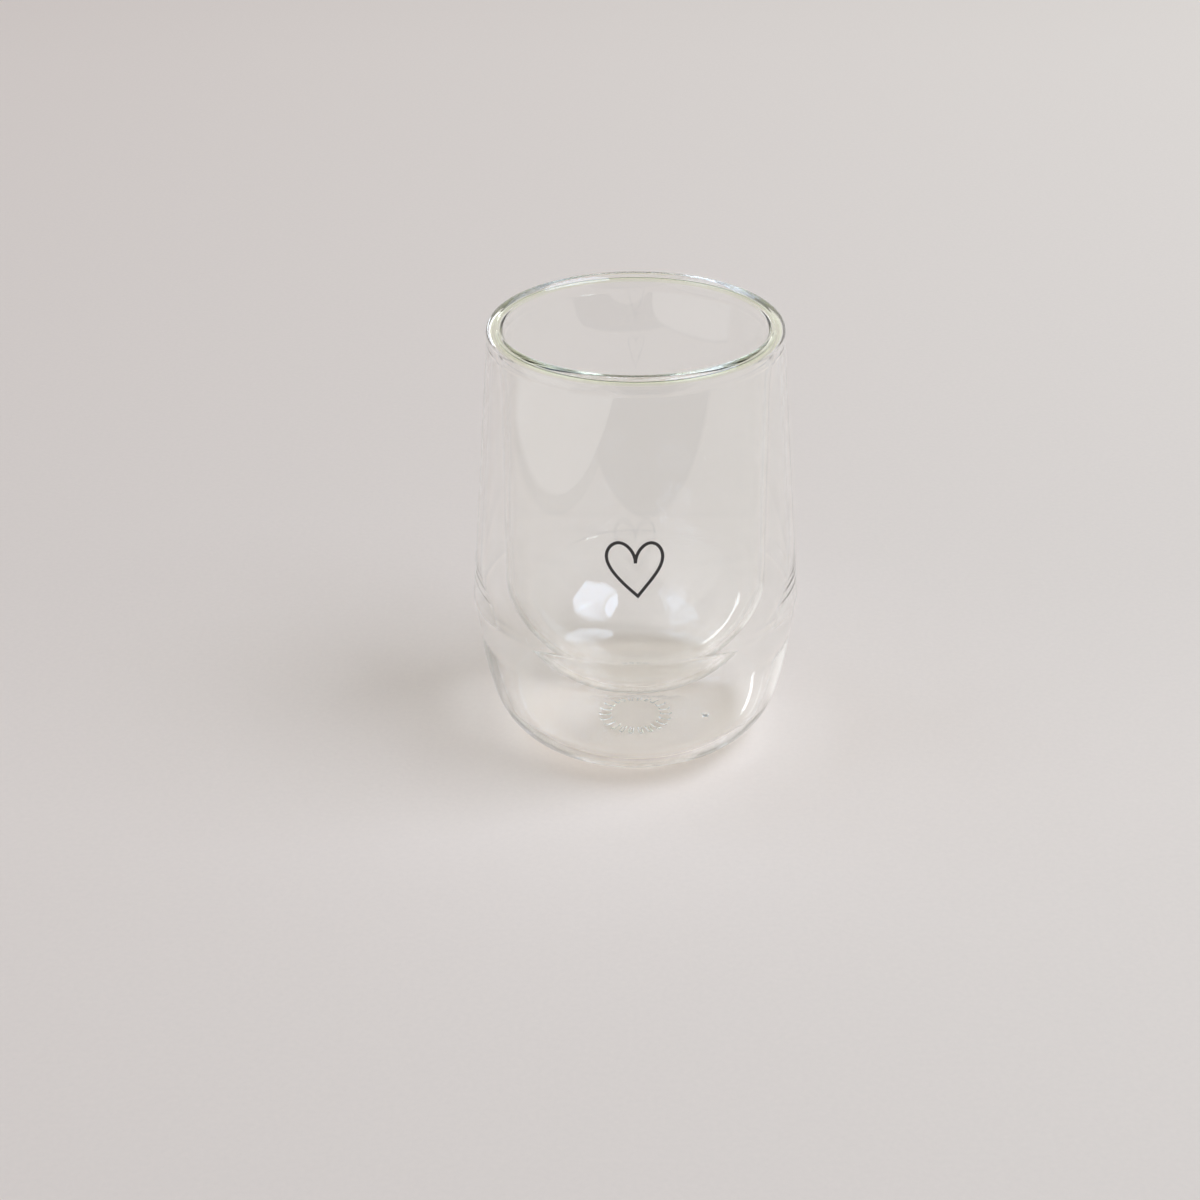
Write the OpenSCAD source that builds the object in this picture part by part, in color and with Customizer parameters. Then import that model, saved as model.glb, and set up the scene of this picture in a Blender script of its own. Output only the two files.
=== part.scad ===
// Double-walled cortado glass: an inner cup and an outer shell of clear borosilicate, fused at the rim,
// with sealed air between them. Millimetres, +Z up, origin at the middle of the foot on the table.

/* [Overall] */
// Height from the table to the top of the rim
glass_h = 95; // [88:0.5:110]

/* [Rim] */
// Outside radius of the rim, and of the sleeve where it meets the rim
rim_r = 30.9; // [30:0.1:32]
// Width of the rim from its outside to the inside of the cup
rim_w = 3.5; // [3.3:0.1:4.4]
// Height of the rim piece, from the ends of the two walls to its top
rim_h = 4; // [3.6:0.1:6]
// Solid glass between the top of the rim and the top of the gap between the walls
rim_web = 1.4; // [1.2:0.1:1.8]

/* [Outer sleeve] */
// Wall of the sleeve
sleeve_wall = 1.3; // [1:0.1:1.4]
// Overhang of the shoulder, the widest place of the glass, past the bowl's top edge
shoulder_step = 1.35; // [1:0.05:1.8]
// Height of the shoulder above the seam, where the sleeve is fused to the bowl
shoulder_rise = 8.4; // [7:0.1:14]
// Radius that rounds the shoulder outside
shoulder_round = 4; // [1:0.5:12]
// Height above the shoulder at which the inside of the sleeve bends, leaving the shoulder thick
bend_rise = 3.8; // [3:0.1:6]
// Radius of the bend inside the sleeve
bend_round = 60; // [30:5:60]

/* [Base bowl] */
// Outside radius of the bowl at its top edge
bowl_r = 33.75; // [32:0.05:35.5]
// Height of the bowl's top edge above the table, where the seam is
seam_z = 25; // [23:0.1:28]
// Wall of the bowl at its round corner
bowl_wall = 1.4; // [1:0.1:1.8]
// Floor of the bowl, from the foot's plane to the sealed gap
bowl_floor = 1.8; // [1.5:0.1:3]
// Distance from the bowl's top edge in to where the flat foot ends and the round corner starts
foot_inset = 17.45; // [16.5:0.05:18.5]
// Width of the ring that the glass stands on
foot_w = 2.6; // [2:0.1:3]
// Depth of the hollow under the base, inside the foot ring
recess_h = 0.4; // [0.3:0.05:0.7]
// Radius of the round corner between the foot and the wall
corner_r = 15.3; // [14:0.1:16]
// Angle that the round corner turns through before the wall takes over
corner_sweep = 72; // [68:1:76]

/* [Base marks] */
// Number of plain raised bars in the ring under the base
mark_count = 22; // [8:1:26]
// Radius of the ring of bars at their middles, as a share of the foot's radius
mark_share = 0.42; // [0.36:0.01:0.5]
// Length of a bar, along the radius
mark_l = 2.6; // [1.5:0.1:3.4]
// Width of a bar
mark_w = 0.9; // [0.5:0.05:1.1]
// Height of a bar below the hollow's ceiling, as a share of the hollow's depth
mark_rise = 0.75; // [0.5:0.05:0.9]

/* [Inner cup] */
// Wall of the cup
cup_wall = 1.2; // [1:0.1:1.4]
// Floor of the cup
cup_floor = 1.5; // [1.2:0.1:3]
// Widening of the cup from its straight wall to its mouth
cup_flare = 0.7; // [0.3:0.05:1.2]
// Height of the widening, below the ends of the walls
flare_h = 9; // [7:0.5:16]
// Radius of the bend where the widening starts
flare_round = 60; // [30:5:80]
// Radius of the flat in the middle of the cup's underside; the round bottom starts there
cup_flat_r = 3; // [2:0.5:10]
// Height of the cup's underside above the table
cup_bottom_z = 13.5; // [12:0.5:20]

/* [Vent seal] */
// Radius of the vent in the bowl's floor and of the glass drop that closes it
vent_r = 0.9; // [0.5:0.1:1.2]
// Distance of the vent's middle in from where the flat foot ends
vent_inset = 0.4; // [0.1:0.1:1.8]
// Angle of the vent about the axis, from the right-hand side
vent_angle = -6; // [-180:1:180]
// Height of the drop's dome above the bowl's floor
vent_dome = 0.4; // [0.1:0.05:0.8]
// Depth of the dimple that the drop leaves under the base
vent_dimple = 0.2; // [0.1:0.05:0.4]

/* [Heart print] */
// Distance of the heart's cusp to the right of the front line of the glass
heart_x = -0.55; // [-6:0.05:6]
// Height of the heart's tip above the table
heart_tip_z = 48.9; // [46:0.1:70]
// Distance of the tip to the right of the cusp
heart_lean = 0.5; // [-1:0.05:1]
// Height of the lobes' tops above the tip
heart_h = 11.6; // [9:0.1:14]
// Height of the lobes' widest places above the tip
heart_wide_h = 8.5; // [6.5:0.1:8.9]
// Height of the cusp above the tip
heart_cusp_h = 7.2; // [5:0.1:8]
// Reach of the left lobe from the cusp
heart_left = 5.85; // [4:0.05:7]
// Reach of the right lobe from the cusp
heart_right = 5.5; // [4:0.05:7]
// Width of the printed line
heart_line = 0.65; // [0.4:0.05:1]
// Thickness of the fired ink
ink_t = 0.08; // [0.05:0.01:0.15]

/* [Hidden] */
$fn = 128;

// Degrees from one point to the next on an arc, and points on each stretch of the heart's line
arc_step = 4;
heart_steps = 8;

// Where the two walls end under the rim, and the wall radii there
wall_top_z = glass_h - rim_h;
cup_mouth_r = rim_r - rim_w;
cup_mouth_out_r = cup_mouth_r + cup_wall;
sleeve_mouth_in_r = rim_r - sleeve_wall;

// The gap between the walls ends in a round arch inside the rim
arch_r = (sleeve_mouth_in_r - cup_mouth_out_r) / 2;
arch_mid = [cup_mouth_out_r + arch_r, glass_h - rim_web - arch_r];

// The rim's top is a full round as wide as the rim
crest_r = rim_w / 2;
crest_mid = [rim_r - crest_r, glass_h - crest_r];

// The shoulder, the foot, its marks and the vent go with the bowl
shoulder_r = bowl_r + shoulder_step;
shoulder_z = seam_z + shoulder_rise;
seam_in = [bowl_r - sleeve_wall, seam_z];
foot_r = bowl_r - foot_inset;
foot_in_r = foot_r - foot_w;
mark_ring_r = foot_r * mark_share;
vent_reach = foot_r - vent_inset;

// The hollow under the base is flat as far as the marks reach, with a margin as wide as a bar
hollow_r = mark_ring_r + mark_l / 2 + mark_w;
mark_h = recess_h * mark_rise;

// The cup's straight wall goes with the rim, and its bottom is round almost to the middle
cup_r = cup_mouth_out_r - cup_flare;
cup_round = cup_r - cup_flat_r;
cup_floor_z = cup_bottom_z + cup_floor;

// Share of a lobe's reach at which its top lies, and the handle that makes a cubic a quarter round
lobe_share = 0.56;
quarter = 0.55;

// Handles at the heart's tip, as shares of a lobe's reach and of the height of its widest place
tip_pull_left = [0.56, 0.35];
tip_pull_right = [0.42, 0.38];

glass_tone = [0.86, 0.9, 0.86, 0.45];
ink_tone = [0.2, 0.18, 0.17];

// Brings an angle into the half turn on either side of zero
function near_zero(a) = a - 360 * round(a / 360);

// Points on an arc about c, from angle a to angle b
function arc(c, r, a, b) =
    let (n = max(2, ceil(abs(b - a) / arc_step)))
    [for (i = [0 : n]) let (t = a + (b - a) * i / n) c + r * [cos(t), sin(t)]];

// Unit vector from p to q
function toward(p, q) = (q - p) / norm(q - p);

// Arc of radius r that rounds the corner b between the lines to a and to c
function fillet(a, b, c, r) =
    let (
        u = toward(b, a),
        v = toward(b, c),
        half = acos(u * v) / 2,
        mid = b + toward([0, 0], u + v) * r / sin(half),
        p = b + u * r / tan(half) - mid,
        q = b + v * r / tan(half) - mid,
        start = atan2(p[1], p[0])
    )
    arc(mid, r, start, start + near_zero(atan2(q[1], q[0]) - start));

// Arc that leaves p square to the normal n and ends at the point top
function wall_arc(p, n, top) =
    let (
        d = top - p,
        r = -(d * d) / (2 * (d * n)),
        mid = p - r * n,
        start = atan2(n[1], n[0])
    )
    arc(mid, r, start, atan2(top[1] - mid[1], top[0] - mid[0]));

// One side of the bowl from the end of its flat floor, round the corner and up to the point top
function bowl_side(floor_z, r, top) =
    let (
        mid = [foot_r, floor_z + r],
        n = [sin(corner_sweep), -cos(corner_sweep)],
        corner = arc(mid, r, -90, corner_sweep - 90),
        wall = wall_arc(mid + r * n, n, top)
    )
    concat(corner, [for (i = [1 : len(wall) - 1]) wall[i]]);

// One side of the sleeve: up from the seam, round one bend and on to the mouth
function sleeve_side(seam, bend, r, mouth) = concat([seam], fillet(seam, bend, mouth, r), [mouth]);

// Outside radius of the sleeve's straight wall at a height above the shoulder
function sleeve_r(z) = shoulder_r + (rim_r - shoulder_r) * (z - shoulder_z) / (wall_top_z - shoulder_z);

// One side of the cup from its middle, round the bottom, up the straight wall and out to its mouth
function cup_side(floor_z, wall_r, corner, mouth_r) =
    let (
        middle = [0, floor_z],
        edge = [wall_r, floor_z],
        flare = [wall_r, wall_top_z - flare_h],
        mouth = [mouth_r, wall_top_z]
    )
    concat([middle], fillet(middle, edge, flare, corner), fillet(edge, flare, mouth, flare_round), [mouth]);

// The points of a list from last to first
function reversed(p) = [for (i = [len(p) - 1 : -1 : 0]) p[i]];

// Points on a cubic curve, without its last one
function cubic(a, b, c, d) =
    [for (i = [0 : heart_steps - 1])
        let (t = i / heart_steps, s = 1 - t)
        s * s * s * a + 3 * s * s * t * b + 3 * s * t * t * c + t * t * t * d];

// Middle line of one half of the heart, from the cusp over the lobe to the tip; reach is signed
function heart_half(reach, tip_pull) =
    let (
        cusp = [heart_x, heart_tip_z + heart_cusp_h],
        lobe = [heart_x + lobe_share * reach, heart_tip_z + heart_h],
        wide = [heart_x + reach, heart_tip_z + heart_wide_h],
        tip = [heart_x + heart_lean, heart_tip_z],
        rise = [0, (lobe[1] - cusp[1]) * quarter],
        over = [(wide[0] - lobe[0]) * quarter, 0],
        drop = [0, (lobe[1] - wide[1]) * quarter],
        side = [0, (tip[1] - wide[1]) * quarter * quarter],
        tip_handle = [reach * tip_pull[0], heart_wide_h * tip_pull[1]]
    )
    concat(
        cubic(cusp, cusp + rise, lobe - over, lobe),
        cubic(lobe, lobe + over, wide + drop, wide),
        cubic(wide, wide + side, tip + tip_handle, tip),
        [tip]
    );

// Turns a direction a quarter turn to the left
function left_of(d) = [-d[1], d[0]];

// Edge of a line of points at a distance d to its left, with the last point mitred against the next one
function line_edge(p, next, d) =
    let (q = concat(p, [next]))
    [for (i = [0 : len(p) - 1])
        let (
            after = left_of(toward(q[i], q[i + 1])),
            before = i == 0 ? after : left_of(toward(q[i - 1], q[i]))
        )
        q[i] + d * (before + after) / (1 + before * after)];

module line_shape(p, next) {
    polygon(concat(line_edge(p, next, heart_line / 2), reversed(line_edge(p, next, -heart_line / 2))));
}

module heart_shape() {
    left = heart_half(-heart_left, tip_pull_left);
    right = heart_half(heart_right, tip_pull_right);
    line_shape(left, right[len(right) - 2]);
    line_shape(right, left[len(left) - 2]);
}

module inner_cup() {
    outside = cup_side(cup_bottom_z, cup_r, cup_round, cup_mouth_out_r);
    inside = cup_side(cup_floor_z, cup_r - cup_wall, cup_round - cup_wall, cup_mouth_r);
    color(glass_tone)
        rotate_extrude()
            polygon(concat(outside, reversed(inside)));
}

module rim_bead() {
    crest = arc(crest_mid, crest_r, 0, 180);
    arch = arc(arch_mid, arch_r, 180, 0);
    color(glass_tone)
        rotate_extrude()
            polygon(concat(
                [[rim_r, wall_top_z]],
                crest,
                [[cup_mouth_r, wall_top_z], [cup_mouth_out_r, wall_top_z]],
                arch,
                [[sleeve_mouth_in_r, wall_top_z]]
            ));
}

module outer_sleeve() {
    bend_z = shoulder_z + bend_rise;
    bend = [sleeve_r(bend_z) - sleeve_wall, bend_z];
    outside = sleeve_side([bowl_r, seam_z], [shoulder_r, shoulder_z], shoulder_round, [rim_r, wall_top_z]);
    inside = sleeve_side(seam_in, bend, bend_round, [sleeve_mouth_in_r, wall_top_z]);
    color(glass_tone)
        rotate_extrude()
            polygon(concat(outside, reversed(inside)));
}

module bowl_body() {
    outside = bowl_side(0, corner_r, [bowl_r, seam_z]);
    inside = bowl_side(bowl_floor, corner_r - bowl_wall, seam_in);
    rotate_extrude()
        polygon(concat(
            [[0, recess_h], [hollow_r, recess_h], [foot_in_r, 0]],
            outside,
            reversed(inside),
            [[0, bowl_floor]]
        ));
}

module mark_bar() {
    straight = mark_l - mark_w;
    translate([0, 0, recess_h - mark_h])
        linear_extrude(2 * mark_h) {
            square([straight, mark_w], center = true);
            for (end = [-1, 1])
                translate([end * straight / 2, 0])
                    circle(d = mark_w);
        }
}

module vent_place() {
    rotate(vent_angle)
        translate([vent_reach, 0, 0])
            children();
}

module base_bowl() {
    color(glass_tone) {
        difference() {
            bowl_body();
            vent_place()
                translate([0, 0, -bowl_floor])
                    cylinder(r = vent_r, h = 3 * bowl_floor);
        }
        for (i = [0 : mark_count - 1])
            rotate(i * 360 / mark_count)
                translate([mark_ring_r, 0, 0])
                    mark_bar();
    }
}

module vent_seal() {
    dome_r = (vent_r * vent_r + vent_dome * vent_dome) / (2 * vent_dome);
    dome_mid = [0, bowl_floor + vent_dome - dome_r];
    edge = asin((dome_r - vent_dome) / dome_r);
    color(glass_tone)
        vent_place()
            rotate_extrude()
                polygon(concat(
                    [[0, vent_dimple], [vent_r, vent_dimple]],
                    arc(dome_mid, dome_r, edge, 90)
                ));
}

module heart_print() {
    low_z = heart_tip_z - 2 * heart_line;
    high_z = heart_tip_z + heart_h + 2 * heart_line;
    color(ink_tone)
        intersection() {
            rotate([90, 0, 0])
                linear_extrude(2 * shoulder_r)
                    heart_shape();
            rotate_extrude()
                polygon([
                    [sleeve_r(low_z), low_z],
                    [sleeve_r(low_z) + ink_t, low_z],
                    [sleeve_r(high_z) + ink_t, high_z],
                    [sleeve_r(high_z), high_z]
                ]);
        }
}

inner_cup();
rim_bead();
outer_sleeve();
base_bowl();
vent_seal();
heart_print();
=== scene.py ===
import math

import bmesh
import bpy
from mathutils import Matrix, Vector


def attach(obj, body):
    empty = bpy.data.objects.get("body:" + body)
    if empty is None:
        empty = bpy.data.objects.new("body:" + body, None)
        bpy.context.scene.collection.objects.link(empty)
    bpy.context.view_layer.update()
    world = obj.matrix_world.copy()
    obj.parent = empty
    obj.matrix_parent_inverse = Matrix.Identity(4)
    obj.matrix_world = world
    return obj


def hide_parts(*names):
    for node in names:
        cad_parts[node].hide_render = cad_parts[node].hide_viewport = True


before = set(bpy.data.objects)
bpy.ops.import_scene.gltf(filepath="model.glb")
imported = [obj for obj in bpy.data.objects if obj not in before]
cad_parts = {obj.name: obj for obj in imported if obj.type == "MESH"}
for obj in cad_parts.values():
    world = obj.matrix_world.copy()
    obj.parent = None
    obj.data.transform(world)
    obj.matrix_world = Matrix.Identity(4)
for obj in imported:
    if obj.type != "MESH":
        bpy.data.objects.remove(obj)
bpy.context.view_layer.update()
scene = bpy.context.scene
MM = 0.001

# Sizes of the glass in millimetres and degrees, as in the solids
GLASS_H, RIM_R, RIM_W, RIM_H, RIM_WEB = 95.0, 30.9, 3.5, 4.0, 1.4
SLEEVE_WALL, SHOULDER_R, SHOULDER_Z, SHOULDER_ROUND = 1.3, 35.1, 33.4, 4.0
BOWL_R, SEAM_Z, BOWL_WALL, BOWL_FLOOR = 33.75, 25.0, 1.4, 1.8
FOOT_R, FOOT_W, RECESS_H = 16.3, 2.6, 0.4
CORNER_R, CORNER_SWEEP, BEND_RISE, BEND_ROUND = 15.3, 72.0, 3.8, 60.0
MARKS, MARK_RING_R, MARK_L, MARK_W, MARK_H = 22, 6.85, 2.6, 0.9, 0.3
CUP_WALL, CUP_FLOOR, CUP_BASE_R, CUP_CORNER_R = 1.2, 1.5, 27.9, 24.9
CUP_BOTTOM_Z, CUP_FLARE_Z, CUP_FLARE_ROUND = 13.5, 82.0, 60.0
VENT_R, VENT_REACH, VENT_ANGLE, VENT_DOME, VENT_DIMPLE = 0.9, 15.9, -6.0, 0.4, 0.2

# Sizes of the scene alone: the rounding of the fold at the seam, outside and inside
SEAM_ROUND, SEAM_IN_ROUND = 20.0, 60.0
# The place, spread and depth of the flat on the rim's inner slope
CREST_SLOPE, CREST_SPREAD, CREST_DROP = math.radians(132), 0.25, 0.1
# The reach of the fine mesh to each side of the ring of marks, and the soft edge of a mark
MARK_REACH, MARK_STEEP, MARK_SPILL = 2.2, 2.2, 0.1
# Facets round each piece
SIDES, BOWL_SIDES, VENT_SIDES = 256, 16 * MARKS, 40

WALL_TOP_Z = GLASS_H - RIM_H
CUP_MOUTH_R = RIM_R - RIM_W
CUP_MOUTH_OUT_R = CUP_MOUTH_R + CUP_WALL
SLEEVE_MOUTH_IN_R = RIM_R - SLEEVE_WALL
VENT_PLACE = Matrix.Rotation(math.radians(VENT_ANGLE), 4, "Z") @ Matrix.Translation((VENT_REACH * MM, 0, 0))


# Profile curves, as points of radius and height
def arc(cx, cz, r, a, b, step=2.0):
    n = max(2, math.ceil(abs(b - a) / step))
    angles = [math.radians(a + (b - a) * i / n) for i in range(n + 1)]
    return [(cx + r * math.cos(t), cz + r * math.sin(t)) for t in angles]


def line(p, q, step=2.0):
    n = max(1, math.ceil(math.dist(p, q) / step))
    return [(p[0] + (q[0] - p[0]) * i / n, p[1] + (q[1] - p[1]) * i / n) for i in range(n + 1)]


# A slope that starts and ends level
def ease(p, q, n=16):
    points = []
    for i in range(n + 1):
        rise = (1 - math.cos(math.pi * i / n)) / 2
        points.append((p[0] + (q[0] - p[0]) * i / n, p[1] + (q[1] - p[1]) * rise))
    return points


# The round that takes the place of the corner at b
def fillet(a, b, c, r):
    a, b, c = Vector(a), Vector(b), Vector(c)
    u, v = (a - b).normalized(), (c - b).normalized()
    half = math.acos(u.dot(v)) / 2
    mid = b + (u + v).normalized() * r / math.sin(half)
    p, q = b + u * r / math.tan(half) - mid, b + v * r / math.tan(half) - mid
    start, end = math.degrees(math.atan2(p.y, p.x)), math.degrees(math.atan2(q.y, q.x))
    turn = end - start - 360 * round((end - start) / 360)
    return arc(mid.x, mid.y, r, start, start + turn)


# The arc that leaves p square to its normal n and ends at the top
def wall_arc(p, n, top):
    d = (top[0] - p[0], top[1] - p[1])
    r = -(d[0] ** 2 + d[1] ** 2) / (2 * (d[0] * n[0] + d[1] * n[1]))
    mid = (p[0] - r * n[0], p[1] - r * n[1])
    start = math.degrees(math.atan2(n[1], n[0]))
    end = math.degrees(math.atan2(top[1] - mid[1], top[0] - mid[0]))
    return arc(mid[0], mid[1], r, start, end, 1.0)


# Several runs as one, without doubled points
def joined(*runs):
    points = []
    for run in runs:
        for p in run:
            if not points or math.dist(points[-1], p) > 1e-4:
                points.append(p)
    return points


# One side of the cup, from the middle of its floor round the corner and up to the flared mouth
def cup_side(floor_z, base_r, corner, mouth_r):
    middle, flare, mouth = (0.0, floor_z), (base_r, CUP_FLARE_Z), (mouth_r, WALL_TOP_Z)
    bend = fillet(middle, (base_r, floor_z), flare, corner)
    turn = fillet(bend[-1], flare, mouth, CUP_FLARE_ROUND)
    return joined(line(middle, bend[0]), bend, line(bend[-1], turn[0]), turn, line(turn[-1], mouth))


# One side of the bowl, from the end of its flat floor round the corner and up to the seam
def bowl_side(floor_z, r, seam):
    n = (math.sin(math.radians(CORNER_SWEEP)), -math.cos(math.radians(CORNER_SWEEP)))
    corner = arc(FOOT_R, floor_z + r, r, -90, CORNER_SWEEP - 90)
    return joined(corner, wall_arc(corner[-1], n, seam))


# One side of the sleeve, from the seam round one bend and up to the mouth
def sleeve_side(seam, bend, r, mouth):
    turn = fillet(seam, bend, mouth, r)
    return joined(line(seam, turn[0]), turn, line(turn[-1], mouth))


# Both sides in one line, with the shallow fold at the seam rounded
def shell_side(bowl, sleeve, r):
    seam = bowl[-1]
    waist = fillet(bowl[-2], seam, sleeve[1], r)
    low = [p for p in bowl if p[1] < waist[0][1] - 0.05]
    high = [p for p in sleeve if p[1] > waist[-1][1] + 0.05]
    return low + waist[:len(waist) // 2 + 1], waist[len(waist) // 2:] + high


# The rim's crest: a half round with its inner slope flattened
def crest_curve(cx, cz, r, n=120):
    points = []
    for i in range(n + 1):
        t = math.pi * i / n
        u = (t - CREST_SLOPE) / CREST_SPREAD
        drop = CREST_DROP * math.exp(-u * u)
        h, turn = r - drop, drop * 2 * u / CREST_SPREAD
        points.append((cx + h * math.cos(t) - turn * math.sin(t), cz + h * math.sin(t) + turn * math.cos(t)))
    return points


# A closed solid of revolution; each run of the profile is a list of points and the number of its material
def lathe(name, runs, segments, materials, shape=None):
    points, numbers = [], []
    for run, number in runs:
        for p in run:
            if points and math.dist(points[-1], p) < 1e-4:
                continue
            if points:
                numbers.append(number)
            points.append(p)
    closed = math.dist(points[0], points[-1]) < 1e-4
    if closed:
        points.pop()
    mesh = bpy.data.meshes.new(name)
    bm = bmesh.new()
    rings = []
    for r, z in points:
        if r < 1e-6:
            rings.append([bm.verts.new((0, 0, z * MM))])
            continue
        ring = []
        for k in range(segments):
            a = 2 * math.pi * k / segments
            dz = shape(r, z, a) if shape else 0.0
            ring.append(bm.verts.new((r * math.cos(a) * MM, r * math.sin(a) * MM, (z + dz) * MM)))
        rings.append(ring)
    pairs = len(rings) if closed else len(rings) - 1
    for i in range(pairs):
        low, high = rings[i], rings[(i + 1) % len(rings)]
        if len(low) == 1 and len(high) == 1:
            continue
        for k in range(segments):
            m = (k + 1) % segments
            if len(low) == 1:
                corners = (low[0], high[m], high[k])
            elif len(high) == 1:
                corners = (low[k], low[m], high[0])
            else:
                corners = (low[k], low[m], high[m], high[k])
            face = bm.faces.new(corners)
            face.material_index = numbers[i]
            face.smooth = True
    bmesh.ops.recalc_face_normals(bm, faces=bm.faces)
    bm.to_mesh(mesh)
    bm.free()
    for m in materials:
        mesh.materials.append(m)
    mesh.set_sharp_from_angle(angle=math.radians(25))
    obj = bpy.data.objects.new(name, mesh)
    scene.collection.objects.link(obj)
    return obj


# Node helpers
def new_material(name):
    mat = bpy.data.materials.new(name)
    mat.use_nodes = True
    tree = mat.node_tree
    tree.nodes.clear()
    return mat, tree


def add(tree, kind, **values):
    node = tree.nodes.new(kind)
    for key, value in values.items():
        setattr(node, key, value)
    return node


def math_node(tree, operation, a, b):
    node = add(tree, "ShaderNodeMath", operation=operation)
    for socket, value in zip(node.inputs, (a, b)):
        if isinstance(value, (int, float)):
            socket.default_value = value
        else:
            tree.links.new(value, socket)
    return node.outputs[0]


# Clear borosilicate: the light's path in the glass gives the olive tint, and slow waves stir its mirroring
def clear_glass(name, losses, wave_scale, wave_height):
    mat, tree = new_material(name)
    out = add(tree, "ShaderNodeOutputMaterial")
    bsdf = add(tree, "ShaderNodeBsdfPrincipled")
    bsdf.inputs["Transmission Weight"].default_value = 1.0
    bsdf.inputs["IOR"].default_value = 1.47
    bsdf.inputs["Roughness"].default_value = 0.0
    path, geometry = add(tree, "ShaderNodeLightPath"), add(tree, "ShaderNodeNewGeometry")
    length = path.outputs["Ray Length"]
    combine = add(tree, "ShaderNodeCombineColor")
    for channel, loss in zip(("Red", "Green", "Blue"), losses):
        depth = math_node(tree, "MULTIPLY", length, -2 * loss)
        tree.links.new(math_node(tree, "POWER", math.e, depth), combine.inputs[channel])
    mix = add(tree, "ShaderNodeMix", data_type="RGBA")
    mix.inputs["A"].default_value = (1, 1, 1, 1)
    tree.links.new(geometry.outputs["Backfacing"], mix.inputs["Factor"])
    tree.links.new(combine.outputs["Color"], mix.inputs["B"])
    tree.links.new(mix.outputs["Result"], bsdf.inputs["Base Color"])
    coords = add(tree, "ShaderNodeTexCoord")
    noise = add(tree, "ShaderNodeTexNoise")
    noise.inputs["Scale"].default_value = wave_scale
    noise.inputs["Detail"].default_value = 2.0
    tree.links.new(coords.outputs["Object"], noise.inputs["Vector"])
    bump = add(tree, "ShaderNodeBump")
    bump.inputs["Strength"].default_value = 1.0
    bump.inputs["Distance"].default_value = wave_height
    tree.links.new(noise.outputs["Fac"], bump.inputs["Height"])
    tree.links.new(bump.outputs["Normal"], bsdf.inputs["Normal"])
    tree.links.new(bsdf.outputs["BSDF"], out.inputs["Surface"])
    return mat


# Faces where two pieces are melted together, which can't be seen in the glass
def fused_joint():
    mat, tree = new_material("fused_joint")
    out = add(tree, "ShaderNodeOutputMaterial")
    clear = add(tree, "ShaderNodeBsdfTransparent")
    tree.links.new(clear.outputs["BSDF"], out.inputs["Surface"])
    return mat


# Fired ink: nearly black, a little uneven and half dull
def heart_ink():
    mat, tree = new_material("heart_ink")
    out = add(tree, "ShaderNodeOutputMaterial")
    bsdf = add(tree, "ShaderNodeBsdfPrincipled")
    coords = add(tree, "ShaderNodeTexCoord")
    noise = add(tree, "ShaderNodeTexNoise")
    noise.inputs["Scale"].default_value = 1800.0
    noise.inputs["Detail"].default_value = 4.0
    tree.links.new(coords.outputs["Object"], noise.inputs["Vector"])
    mix = add(tree, "ShaderNodeMix", data_type="RGBA")
    mix.inputs["A"].default_value = (0.022, 0.019, 0.018, 1)
    mix.inputs["B"].default_value = (0.045, 0.039, 0.036, 1)
    tree.links.new(noise.outputs["Fac"], mix.inputs["Factor"])
    tree.links.new(mix.outputs["Result"], bsdf.inputs["Base Color"])
    rough = add(tree, "ShaderNodeMapRange")
    rough.inputs["To Min"].default_value = 0.45
    rough.inputs["To Max"].default_value = 0.65
    tree.links.new(noise.outputs["Fac"], rough.inputs["Value"])
    tree.links.new(rough.outputs["Result"], bsdf.inputs["Roughness"])
    bump = add(tree, "ShaderNodeBump")
    bump.inputs["Strength"].default_value = 0.3
    bump.inputs["Distance"].default_value = 0.00002
    tree.links.new(noise.outputs["Fac"], bump.inputs["Height"])
    tree.links.new(bump.outputs["Normal"], bsdf.inputs["Normal"])
    tree.links.new(bsdf.outputs["BSDF"], out.inputs["Surface"])
    return mat


# Tints are losses of red, green and blue light for each metre of glass
TINT, RIM_TINT = (1.6, 0.8, 4.5), (24.0, 10.0, 90.0)
joint = fused_joint()
blown = clear_glass("blown_glass", TINT, 60.0, 0.00001)
fused = clear_glass("fused_rim_glass", RIM_TINT, 30.0, 0.000004)
moulded = clear_glass("moulded_glass", TINT, 90.0, 0.00001)


# The inner cup
def make_inner_cup():
    outside = cup_side(CUP_BOTTOM_Z, CUP_BASE_R, CUP_CORNER_R, CUP_MOUTH_OUT_R)
    inside = cup_side(CUP_BOTTOM_Z + CUP_FLOOR, CUP_BASE_R - CUP_WALL, CUP_CORNER_R - CUP_WALL, CUP_MOUTH_R)
    runs = [(outside, 0), ([outside[-1], inside[-1]], 1), (inside[::-1], 0)]
    return lathe("inner_cup_glass", runs, SIDES, (blown, joint))


# The rim bead, arched over the gap between the walls
def make_rim_bead():
    crest_r = RIM_W / 2
    arch_r = (SLEEVE_MOUTH_IN_R - CUP_MOUTH_OUT_R) / 2
    arch_x, arch_z = CUP_MOUTH_OUT_R + arch_r, GLASS_H - RIM_WEB - arch_r
    outer, inner = (RIM_R, WALL_TOP_Z), (CUP_MOUTH_R, WALL_TOP_Z)
    gap_in, gap_out = (CUP_MOUTH_OUT_R, WALL_TOP_Z), (SLEEVE_MOUTH_IN_R, WALL_TOP_Z)
    crest = crest_curve(RIM_R - crest_r, GLASS_H - crest_r, crest_r)
    arch = arc(arch_x, arch_z, arch_r, 180, 0, 8)
    runs = [([outer, crest[0]], 2), (crest, 0), ([crest[-1], inner], 2), ([inner, gap_in], 1),
            ([gap_in, arch[0]], 2), (arch, 0), ([arch[-1], gap_out], 2), ([gap_out, outer], 1)]
    return lathe("rim_bead_glass", runs, SIDES, (fused, joint, blown))


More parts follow.
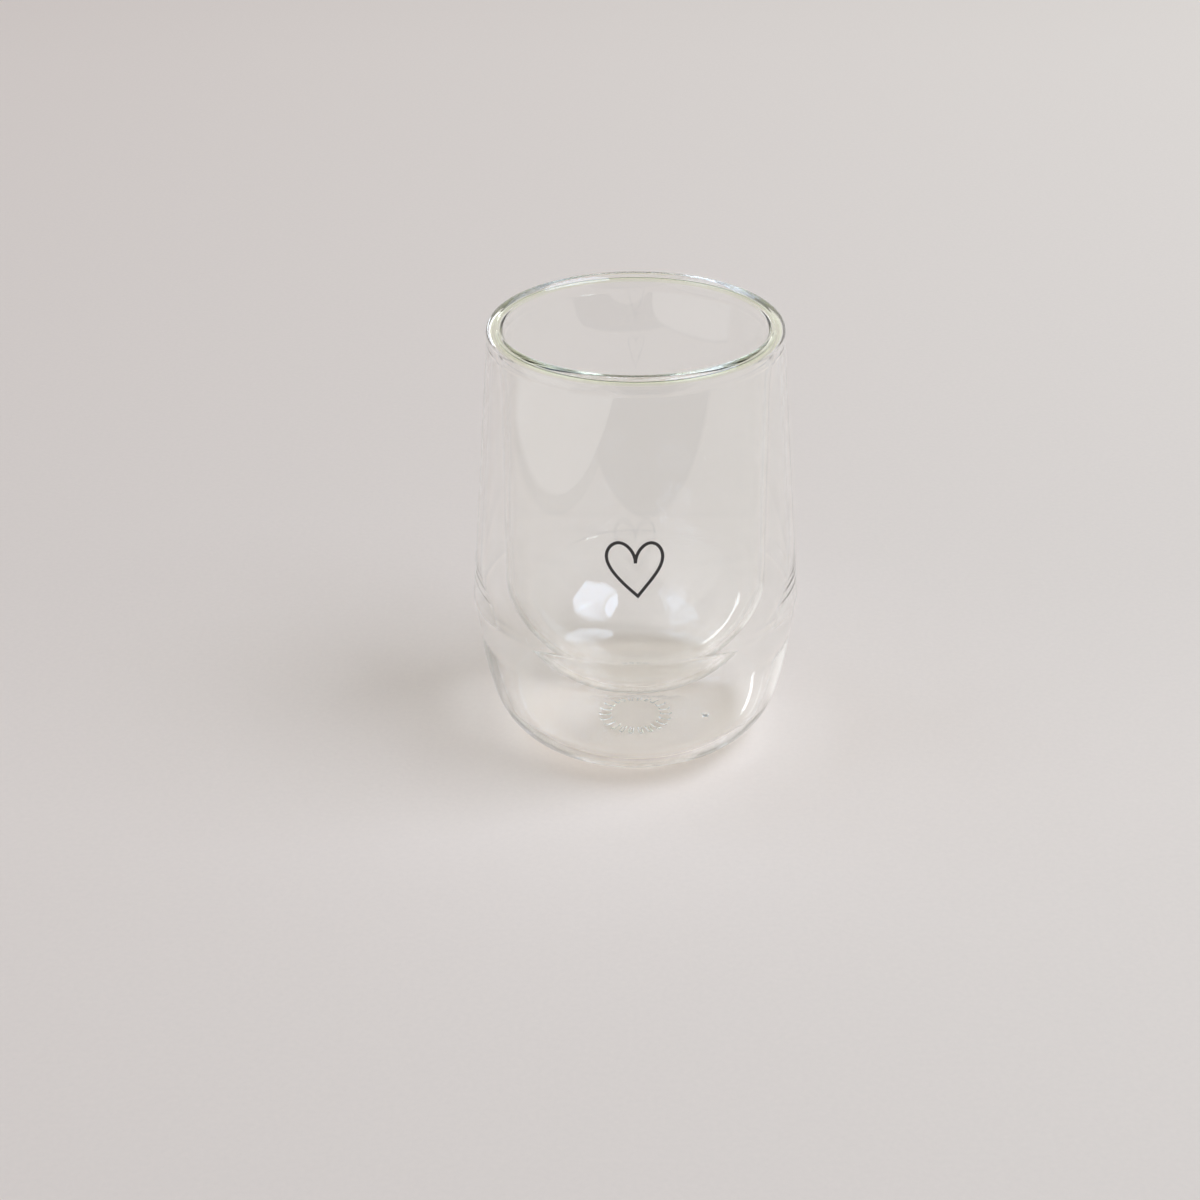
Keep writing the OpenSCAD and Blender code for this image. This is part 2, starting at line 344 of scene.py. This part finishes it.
# The shell outside and inside, each as the bowl's part and the sleeve's part
BEND_Z = SHOULDER_Z + BEND_RISE
BEND_R = SHOULDER_R + (RIM_R - SHOULDER_R) * BEND_RISE / (WALL_TOP_Z - SHOULDER_Z) - SLEEVE_WALL
SEAM, SEAM_IN = (BOWL_R, SEAM_Z), (BOWL_R - SLEEVE_WALL, SEAM_Z)
BOWL_OUT, SLEEVE_OUT = shell_side(
    bowl_side(0.0, CORNER_R, SEAM),
    sleeve_side(SEAM, (SHOULDER_R, SHOULDER_Z), SHOULDER_ROUND, (RIM_R, WALL_TOP_Z)), SEAM_ROUND)
BOWL_IN, SLEEVE_IN = shell_side(
    bowl_side(BOWL_FLOOR, CORNER_R - BOWL_WALL, SEAM_IN),
    sleeve_side(SEAM_IN, (BEND_R, BEND_Z), BEND_ROUND, (SLEEVE_MOUTH_IN_R, WALL_TOP_Z)), SEAM_IN_ROUND)


# The outer sleeve
def make_outer_sleeve():
    outside, inside = SLEEVE_OUT, SLEEVE_IN
    runs = [(outside, 0), ([outside[-1], inside[-1]], 1), (inside[::-1], 0), ([inside[0], outside[0]], 1)]
    return lathe("outer_sleeve_glass", runs, SIDES, (blown, joint))


# Height of the moulded bars under the base at a point of the underside
def mark_drop(r, z, a):
    if abs(z - RECESS_H) > 1e-6:
        return 0.0
    pitch = 2 * math.pi / MARKS
    across = r * math.sin(a - pitch * round(a / pitch))
    along = max(0.0, abs(r - MARK_RING_R) - (MARK_L - MARK_W) / 2)
    inside = 1 - math.hypot(along, across) / (MARK_W / 2)
    return -MARK_H * min(1.0, max(0.0, inside * MARK_STEEP + MARK_SPILL))


# The base bowl, with the vent cut through its floor
def make_base_bowl():
    middle, near = (0, RECESS_H), (MARK_RING_R - MARK_REACH, RECESS_H)
    far, ring_in = (MARK_RING_R + MARK_REACH, RECESS_H), (FOOT_R - FOOT_W, 0.0)
    under = joined(line(middle, near, 1.0), line(near, far, 0.12),
                   line(far, ring_in, 0.5), line(ring_in, (FOOT_R, 0.0), 0.5))
    outside = joined(under, BOWL_OUT)
    inside = joined(line((0, BOWL_FLOOR), (FOOT_R, BOWL_FLOOR), 2.0), BOWL_IN)
    runs = [(outside, 0), ([outside[-1], inside[-1]], 1), (inside[::-1], 0)]
    bowl = lathe("base_bowl_glass", runs, BOWL_SIDES, (moulded, joint), mark_drop)
    hole = [(0, -2), (VENT_R, -2), (VENT_R, 4), (0, 4)]
    drill = lathe("drill", [(hole, 1)], VENT_SIDES, (moulded, joint))
    drill.matrix_world = VENT_PLACE
    cut = bowl.modifiers.new("vent", "BOOLEAN")
    cut.operation, cut.solver, cut.object, cut.material_mode = "DIFFERENCE", "EXACT", drill, "TRANSFER"
    bpy.context.view_layer.update()
    drilled = bpy.data.meshes.new_from_object(bowl.evaluated_get(bpy.context.evaluated_depsgraph_get()))
    bowl.modifiers.clear()
    bowl.data = drilled
    drilled.set_sharp_from_angle(angle=math.radians(25))
    bpy.data.objects.remove(drill)
    return bowl


# The drop that closes the vent: a dome above the bowl's floor and a dimple under it
def make_vent_seal():
    dome_r = (VENT_R ** 2 + VENT_DOME ** 2) / (2 * VENT_DOME)
    edge = math.degrees(math.asin((dome_r - VENT_DOME) / dome_r))
    dome = arc(0.0, BOWL_FLOOR + VENT_DOME - dome_r, dome_r, 90, edge, 3)
    under = ease((VENT_R, 0.0), (0.0, VENT_DIMPLE), 10)
    runs = [(dome, 0), ([dome[-1], under[0]], 1), (under, 0)]
    seal = lathe("vent_seal_glass", runs, VENT_SIDES, (moulded, joint))
    seal.data.transform(VENT_PLACE)
    return seal


# Each glass piece takes the place of its solid; the heart is the solid itself, in ink
glass = {
    "inner_cup": make_inner_cup(),
    "rim_bead": make_rim_bead(),
    "outer_sleeve": make_outer_sleeve(),
    "base_bowl": make_base_bowl(),
    "vent_seal": make_vent_seal(),
}
for node, piece in glass.items():
    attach(piece, "root")
    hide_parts(node)

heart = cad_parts["heart_print"]
heart.data.materials.clear()
heart.data.materials.append(heart_ink())


# One flat face of the stage
def panel(name, corners, mat):
    mesh = bpy.data.meshes.new(name)
    mesh.from_pydata(corners, [], [tuple(range(len(corners)))])
    mesh.materials.append(mat)
    obj = bpy.data.objects.new(name, mesh)
    scene.collection.objects.link(obj)
    return obj


# Floor: pale paper with a fine grain, and painted light and shade in a slow change of tone: darker at the
# front and the left, brighter at the back and the right
def make_floor():
    mat, tree = new_material("floor_paper")
    out = add(tree, "ShaderNodeOutputMaterial")
    bsdf = add(tree, "ShaderNodeBsdfPrincipled")
    bsdf.inputs["Roughness"].default_value = 0.9
    bsdf.inputs["Specular IOR Level"].default_value = 0.1
    coords = add(tree, "ShaderNodeTexCoord")
    split = add(tree, "ShaderNodeSeparateXYZ")
    tree.links.new(coords.outputs["Object"], split.inputs["Vector"])
    # Painted light and shade along the depth: darker at the front, brighter towards the back
    depth = add(tree, "ShaderNodeMapRange")
    depth.inputs["From Min"].default_value = -0.25
    depth.inputs["From Max"].default_value = 0.55
    tree.links.new(split.outputs["Y"], depth.inputs["Value"])
    ramp = add(tree, "ShaderNodeValToRGB")
    painted_light_stops = ((0.0, 0.98), (0.15, 1.04), (0.27, 1.08), (0.4, 1.05), (1.0, 1.13))
    while len(ramp.color_ramp.elements) < len(painted_light_stops):
        ramp.color_ramp.elements.new(0.5)
    for element, (place, tone) in zip(ramp.color_ramp.elements, painted_light_stops):
        element.position = place
        element.color = (0.82 * tone, 0.712 * tone, 0.595 * tone, 1)
    tree.links.new(depth.outputs["Result"], ramp.inputs["Fac"])
    # Painted shade across: darker and pinker at the left, brighter at the right
    across = add(tree, "ShaderNodeMapRange")
    across.inputs["From Min"].default_value = -0.3
    across.inputs["From Max"].default_value = 0.3
    tree.links.new(split.outputs["X"], across.inputs["Value"])
    side = add(tree, "ShaderNodeMix", data_type="RGBA")
    side.inputs["A"].default_value = (0.95, 0.925, 0.935, 1)
    side.inputs["B"].default_value = (1.04, 1.05, 1.05, 1)
    tree.links.new(across.outputs["Result"], side.inputs["Factor"])
    grain = add(tree, "ShaderNodeTexNoise")
    grain.inputs["Scale"].default_value = 900.0
    grain.inputs["Detail"].default_value = 6.0
    tree.links.new(coords.outputs["Object"], grain.inputs["Vector"])
    speck = add(tree, "ShaderNodeMapRange")
    speck.inputs["To Min"].default_value = 0.97
    speck.inputs["To Max"].default_value = 1.03
    tree.links.new(grain.outputs["Fac"], speck.inputs["Value"])
    tone = add(tree, "ShaderNodeVectorMath", operation="MULTIPLY")
    tree.links.new(ramp.outputs["Color"], tone.inputs[0])
    tree.links.new(side.outputs["Result"], tone.inputs[1])
    shade = add(tree, "ShaderNodeVectorMath", operation="SCALE")
    tree.links.new(tone.outputs["Vector"], shade.inputs[0])
    tree.links.new(speck.outputs["Result"], shade.inputs["Scale"])
    tree.links.new(shade.outputs["Vector"], bsdf.inputs["Base Color"])
    bump = add(tree, "ShaderNodeBump")
    bump.inputs["Strength"].default_value = 0.15
    bump.inputs["Distance"].default_value = 0.0002
    tree.links.new(grain.outputs["Fac"], bump.inputs["Height"])
    tree.links.new(bump.outputs["Normal"], bsdf.inputs["Normal"])
    tree.links.new(bsdf.outputs["BSDF"], out.inputs["Surface"])
    half, z = 2.5, -0.0001
    panel("floor", [(-half, -half, z), (half, -half, z), (half, half, z), (-half, half, z)], mat)


# A flat lamp panel that faces the glass; its corners are given at a distance of one
def lamp_panel(name, direction, distance, corners, colour, strength):
    mat, tree = new_material(name)
    out = add(tree, "ShaderNodeOutputMaterial")
    glow = add(tree, "ShaderNodeEmission")
    glow.inputs["Color"].default_value = (*colour, 1)
    glow.inputs["Strength"].default_value = strength
    tree.links.new(glow.outputs["Emission"], out.inputs["Surface"])
    way = Vector(direction).normalized()
    across = Vector((0, 1, 0)).cross(way).normalized()
    along = way.cross(across)
    middle = Vector((0, 0, 0.02))
    panel(name, [middle + (way + across * x + along * y) * distance for x, y in corners], mat)


# A card outside the picture, glowing in one tone in place of the light on it; it shows in reflections only
# and doesn't light or shade the floor
def card(name, corners, colour):
    mat, tree = new_material(name)
    out = add(tree, "ShaderNodeOutputMaterial")
    glow = add(tree, "ShaderNodeEmission")
    glow.inputs["Color"].default_value = (*colour, 1)
    path = add(tree, "ShaderNodeLightPath")
    mirrored = math_node(tree, "GREATER_THAN", path.outputs["Glossy Depth"], 0.5)
    clear = add(tree, "ShaderNodeBsdfTransparent")
    seen = add(tree, "ShaderNodeMixShader")
    tree.links.new(mirrored, seen.inputs["Fac"])
    tree.links.new(clear.outputs["BSDF"], seen.inputs[1])
    tree.links.new(glow.outputs["Emission"], seen.inputs[2])
    tree.links.new(seen.outputs["Shader"], out.inputs["Surface"])
    obj = panel(name, corners, mat)
    obj.visible_diffuse = False
    obj.visible_shadow = False


# A card that lies a little above the table
def flat(name, corners, lift, colour):
    card(name, [(*corner, lift) for corner in corners], colour)


# A card that stands on the table, between two points of it
def upright(name, a, b, height, colour):
    card(name, ((*a, 0.0), (*b, 0.0), (*b, height), (*a, height)), colour)


make_floor()

# Lamps: an eight-sided softbox at the right and a window at the left
OCTAGON = ((0.31, -0.28), (-0.01, -0.43), (-0.27, -0.38), (-0.35, -0.11),
           (-0.26, 0.29), (0.01, 0.385), (0.22, 0.36), (0.34, 0.16))
WINDOW = ((0.2, -0.36), (0.2, 0.36), (-0.2, 0.36), (-0.2, -0.36))
lamp_panel("softbox_right", (0.553, -0.16, 0.818), 3.0, OCTAGON, (0.69, 0.79, 1.0), 5.8)
lamp_panel("window_left", (-0.567, 0.022, 0.823), 3.0, WINDOW, (0.62, 0.78, 1.0), 2.0)

# Cards that the glass mirrors, in metres, each glowing in place of the light on it: the table's dark end and
# side, a white board and two bright strips
END = ((-0.25, -0.276), (-0.25, -0.42), (0.5, -0.32), (0.5, -0.171))
SIDE_BACK, SIDE_FRONT = (-0.263, 0.03), (-0.104, -0.365)
SIDE = (SIDE_BACK, (-0.243, 0.03), (-0.084, -0.365), SIDE_FRONT)
flat("table_end", END, 0.0004, (0.05, 0.045, 0.04))
flat("table_side", SIDE, 0.0003, (0.36, 0.34, 0.32))
upright("bright_edge", (0.2546, -0.35), (0.3214, -0.29), 0.014, (5.0, 5.2, 5.4))
upright("back_edge", (-0.72, 0.64), (-0.29, 0.91), 0.1, (4.5, 4.7, 4.9))
upright("reflector", SIDE_BACK, SIDE_FRONT, 0.3, (1.0, 0.98, 0.96))

# World: a room as pale as the floor near the horizon, darker overhead and a little brighter at the back
world = bpy.data.worlds.new("room")
scene.world = world
world.use_nodes = True
tree = world.node_tree
tree.nodes.clear()
out = add(tree, "ShaderNodeOutputWorld")
back = add(tree, "ShaderNodeBackground")
coords = add(tree, "ShaderNodeTexCoord")
split = add(tree, "ShaderNodeSeparateXYZ")
tree.links.new(coords.outputs["Generated"], split.inputs["Vector"])
ramp = add(tree, "ShaderNodeValToRGB")
ramp.color_ramp.elements[0].position = 0.3
ramp.color_ramp.elements[0].color = (0.68, 0.668, 0.64, 1)
ramp.color_ramp.elements[1].position = 0.6
ramp.color_ramp.elements[1].color = (0.20, 0.195, 0.18, 1)
tree.links.new(split.outputs["Z"], ramp.inputs["Fac"])
tree.links.new(ramp.outputs["Color"], back.inputs["Color"])
rear = add(tree, "ShaderNodeMapRange")
rear.inputs["To Min"].default_value = 1.0
rear.inputs["To Max"].default_value = 1.2
tree.links.new(split.outputs["Y"], rear.inputs["Value"])
tree.links.new(rear.outputs["Result"], back.inputs["Strength"])
tree.links.new(back.outputs["Background"], out.inputs["Surface"])

# Camera at the photo's angle, its place in millimetres
CAMERA_PLACE = Vector((-7.7386, -482.418, 283.705))
pitch, roll = math.radians(27.719), math.radians(-0.3975)
ahead = Vector((0, math.cos(pitch), -math.sin(pitch)))
level_up, level_right = Vector((0, math.sin(pitch), math.cos(pitch))), Vector((1, 0, 0))
right = level_right * math.cos(roll) + level_up * math.sin(roll)
up = level_up * math.cos(roll) - level_right * math.sin(roll)
lens = bpy.data.cameras.new("camera")
lens.sensor_width = 36.0
lens.lens = 75.0
lens.clip_start = 0.01
camera = bpy.data.objects.new("camera", lens)
turn = Matrix((right, up, -ahead)).transposed()
camera.matrix_world = Matrix.Translation(CAMERA_PLACE * MM) @ turn.to_4x4()
scene.collection.objects.link(camera)
scene.camera = camera

# Light passes many faces of glass before it leaves
scene.view_settings.view_transform = "Standard"
scene.cycles.max_bounces = 160
scene.cycles.transmission_bounces = 64
scene.cycles.glossy_bounces = 128
scene.cycles.transparent_max_bounces = 32
scene.cycles.blur_glossy = 0.0
scene.cycles.use_denoising = True
